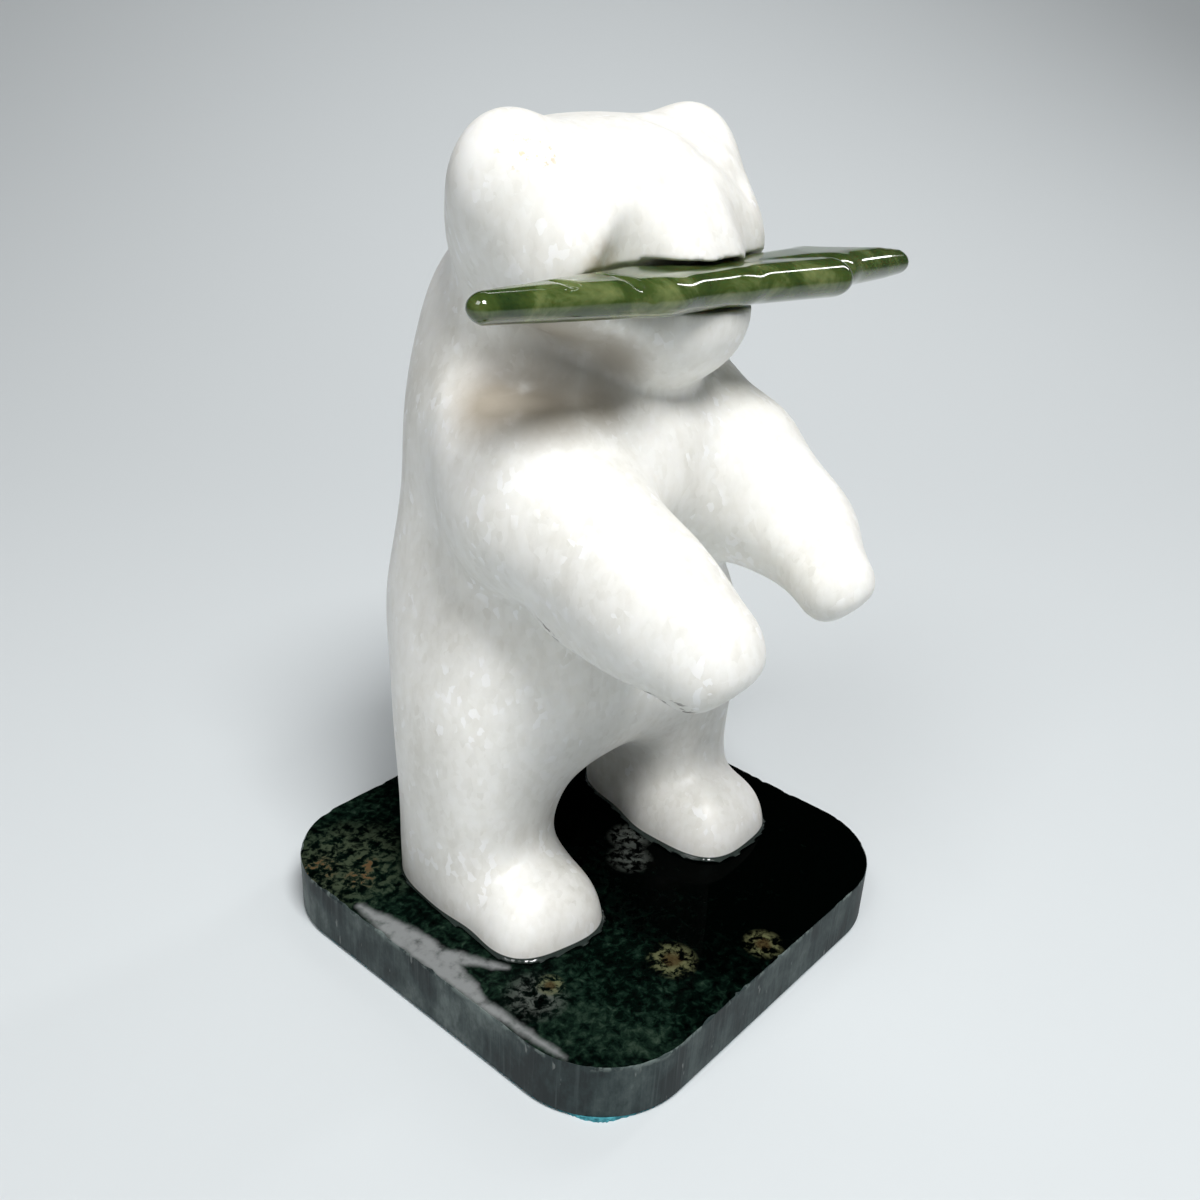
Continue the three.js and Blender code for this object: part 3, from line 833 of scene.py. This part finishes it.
def slab_edge(step):
    """Places round the slab's outline, from the front left on, and the outward way at each."""
    radius = SLAB_CORNER_RADIUS
    x, y = SLAB_WIDTH / 2 - radius, SLAB_DEPTH / 2 - radius
    places, outward = [], []
    for corner, (cx, cy) in enumerate(((x, -y), (x, y), (-x, y), (-x, -y))):
        start = math.pi / 2 * (corner - 1)
        count = int(radius * math.pi / 2 / step)
        for turn in start + math.pi / 2 * np.arange(count + 1) / count:
            way = (math.cos(turn), math.sin(turn))
            places.append((cx + radius * way[0], cy + radius * way[1]))
            outward.append(way)
        straight = 2 * (y if corner in (0, 2) else x)
        way = (round(math.cos(start + math.pi / 2)), round(math.sin(start + math.pi / 2)))
        count = int(straight / step)
        for share in np.arange(1, count) / count:
            run = straight * share
            x_edge, y_edge = cx + radius * way[0], cy + radius * way[1]
            places.append((x_edge - way[1] * run, y_edge + way[0] * run))
            outward.append(way)
    return np.array(places), np.array(outward)


def ringed(rows):
    """A closed body from rings of corners, the lowest first."""
    count = len(rows[0])
    faces = [tuple(range(count))[::-1]]
    for low in range(0, (len(rows) - 1) * count, count):
        high = low + count
        for place in range(count):
            after = (place + 1) % count
            faces.append((low + place, low + after, high + after, high + place))
    faces.append(tuple(range((len(rows) - 1) * count, len(rows) * count)))
    return np.concatenate(rows), faces


def make_slab():
    """The slab with small chips along its worn top edge."""
    places, outward = slab_edge(SLAB_EDGE_STEP)
    count = len(places)
    rng = np.random.default_rng(7)
    swing = np.abs(np.convolve(rng.normal(size=count), np.ones(5) / 3, "same"))
    worn = EDGE_WEAR + EDGE_WEAR_MORE * swing
    for _ in range(CHIP_COUNT):
        middle = rng.integers(count)
        half, depth = rng.uniform(*CHIP_HALVES), rng.uniform(*CHIP_DEPTHS)
        gap = np.abs((np.arange(count) - middle + count / 2) % count - count / 2)
        worn = np.maximum(worn, depth * (1 - (gap / half) ** 2))
    drop = worn * rng.uniform(*DROP_SHARES, count)
    rows = []
    low = PAD_THICKNESS
    for share in np.arange(SLAB_ROWS) / (SLAB_ROWS - 1):
        rows.append(np.column_stack([places, low + share * (SLAB_TOP - drop - low)]))
    edge = places - outward * (BREAK_IN * worn)[:, None]
    rows.append(np.column_stack([edge, SLAB_TOP - BREAK_DOWN * drop]))
    edge = places - outward * worn[:, None]
    rows.append(np.column_stack([edge, np.full(count, SLAB_TOP)]))
    corners, faces = ringed(rows)
    material = dark_serpentine()
    piece = new_piece("stone_slab", corners, faces, material, smooth=False)
    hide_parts("slab")


def make_pad():
    """The felt pad with its ragged edge, pulled out a little under the slab's front left corner."""
    places, outward = slab_edge(PAD_EDGE_STEP)
    rng = np.random.default_rng(3)
    gap = np.hypot(*(places - np.array(PAD_PULLED_AT)).T)
    out = PAD_PULLED * np.exp(-(gap / PAD_PULLED_REACH) ** 2) - PAD_INSET
    rows = []
    for share in PAD_LEVELS:
        fuzz = rng.uniform(-PAD_FUZZ, PAD_FUZZ, len(places)) * (1 - share ** 4)
        edge = places + outward * (out + fuzz)[:, None]
        rows.append(np.column_stack([edge, np.full(len(places), share * PAD_THICKNESS)]))
    corners, faces = ringed(rows)
    piece = new_piece("felt_pad_edge", corners, faces, teal_felt(), smooth=False)
    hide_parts("felt_pad")


# Camera, floor, room and lights. Here the sizes are in metres, and the angles in degrees.

FLOOR_COLOR = (0.665, 0.70, 0.715)
FLOOR_REACH = 0.25
FLOOR_FRONT = 3.0
SWEEP_RADIUS = 1.5
SWEEP_RISE = 46
SWEEP_WIDTH = 8.0
SWEEP_AZIMUTH = 46
SWEEP_STEPS = 24

ROOM_COLOR = (0.80, 0.84, 0.87)
ROOM_STRENGTH = 0.05
DARK_STRENGTH = 0.02
DARK_AZIMUTH = 38
DARK_ELEVATION = 44
DARK_HALF = 24
DARK_FADE_END = 48

# Each light's name, place, the place that it faces, its width and height, and its watts
LIGHTS = [
    ("front_softbox", (-0.19, -0.45, 0.98), (0, 0, 0.08), (0.34, 0.34), 10.5),
    ("left_softbox", (-0.62, -0.06, 0.90), (0, 0, 0.08), (0.4, 0.4), 2.9),
    ("right_strip", (0.85, -0.06, 0.64), (0, 0, 0.12), (0.07, 0.40), 1.0),
    ("backdrop_light", (0.35, 0.30, 0.75), (0.80, 0.66, 0.20), (0.35, 0.35), 2.2),
]


def make_camera():
    azimuth, elevation, roll = map(math.radians, (CAMERA_AZIMUTH, CAMERA_ELEVATION, CAMERA_ROLL))
    back = Vector((
        math.sin(azimuth) * math.cos(elevation),
        -math.cos(azimuth) * math.cos(elevation),
        math.sin(elevation),
    ))
    right = Vector((math.cos(azimuth), math.sin(azimuth), 0))
    up = back.cross(right)
    right, up = (
        right * math.cos(roll) + up * math.sin(roll),
        up * math.cos(roll) - right * math.sin(roll),
    )
    data = bpy.data.cameras.new("camera")
    data.sensor_width = SENSOR_WIDTH
    data.lens = FOCAL_PIXELS / FRAME_PIXELS * SENSOR_WIDTH
    data.clip_start, data.clip_end = 0.01, 50
    camera = bpy.data.objects.new("camera", data)
    facing = Matrix((right, up, back)).transposed().to_4x4()
    camera.matrix_world = Matrix.Translation(Vector(CAMERA_PLACE) * MM) @ facing
    bpy.context.scene.collection.objects.link(camera)
    bpy.context.scene.camera = camera


def direction(azimuth, elevation):
    """Unit vector at an azimuth from +X towards +Y and an elevation, in degrees."""
    a, e = math.radians(azimuth), math.radians(elevation)
    return Vector((math.cos(a) * math.cos(e), math.sin(a) * math.cos(e), math.sin(e)))


def make_floor():
    """A pale floor that sweeps up far behind the carving."""
    n = Nodes("pale_floor")
    n.set(n.shader, **{
        "Base Color": (*FLOOR_COLOR, 1),
        "Roughness": 0.9,
        "Specular IOR Level": 0.1,
    })
    across = direction(SWEEP_AZIMUTH + 90, 0) * SWEEP_WIDTH / 2
    away = direction(SWEEP_AZIMUTH, 0)
    turns = [math.radians(SWEEP_RISE) * step / SWEEP_STEPS for step in range(SWEEP_STEPS + 1)]
    profile = [(-FLOOR_FRONT, 0.0)]
    for turn in turns:
        out = FLOOR_REACH + SWEEP_RADIUS * math.sin(turn)
        profile.append((out, SWEEP_RADIUS * (1 - math.cos(turn))))
    middles = [away * out + Vector((0, 0, up)) for out, up in profile]
    corners = [middle + side * across for middle in middles for side in (-1, 1)]
    faces = [(2 * row, 2 * row + 1, 2 * row + 3, 2 * row + 2) for row in range(len(profile) - 1)]
    mesh = bpy.data.meshes.new("floor")
    mesh.from_pydata(corners, [], faces)
    mesh.polygons.foreach_set("use_smooth", [True] * len(faces))
    mesh.materials.append(n.material)
    floor = bpy.data.objects.new("floor", mesh)
    bpy.context.scene.collection.objects.link(floor)


def make_room():
    """A pale room, with a dark part high behind the carving that the polished slab mirrors."""
    world = bpy.data.worlds.new("studio")
    world.use_nodes = True
    tree = world.node_tree
    background = tree.nodes["Background"]
    facing = tree.nodes.new("ShaderNodeVectorMath")
    facing.operation = "DOT_PRODUCT"
    tree.links.new(tree.nodes.new("ShaderNodeTexCoord").outputs["Generated"], facing.inputs[0])
    facing.inputs[1].default_value = direction(DARK_AZIMUTH, DARK_ELEVATION)
    fade = tree.nodes.new("ShaderNodeMapRange")
    fade.interpolation_type = "SMOOTHSTEP"
    fade.inputs["From Min"].default_value = math.cos(math.radians(DARK_FADE_END))
    fade.inputs["From Max"].default_value = math.cos(math.radians(DARK_HALF))
    fade.inputs["To Min"].default_value = ROOM_STRENGTH
    fade.inputs["To Max"].default_value = DARK_STRENGTH
    tree.links.new(facing.outputs["Value"], fade.inputs["Value"])
    tree.links.new(fade.outputs["Result"], background.inputs["Strength"])
    background.inputs["Color"].default_value = (*ROOM_COLOR, 1)
    bpy.context.scene.world = world
    bpy.context.scene.view_settings.view_transform = "Standard"


def add_light(name, at, towards, size, power):
    data = bpy.data.lights.new(name, "AREA")
    data.shape = "RECTANGLE"
    data.size, data.size_y = size
    data.energy = power
    light = bpy.data.objects.new(name, data)
    light.location = at
    light.rotation_euler = (Vector(towards) - Vector(at)).to_track_quat("-Z", "Y").to_euler()
    bpy.context.scene.collection.objects.link(light)


make_camera()
make_floor()
make_room()
for light in LIGHTS:
    add_light(*light)
make_bear()
make_fish()
make_slab()
make_pad()
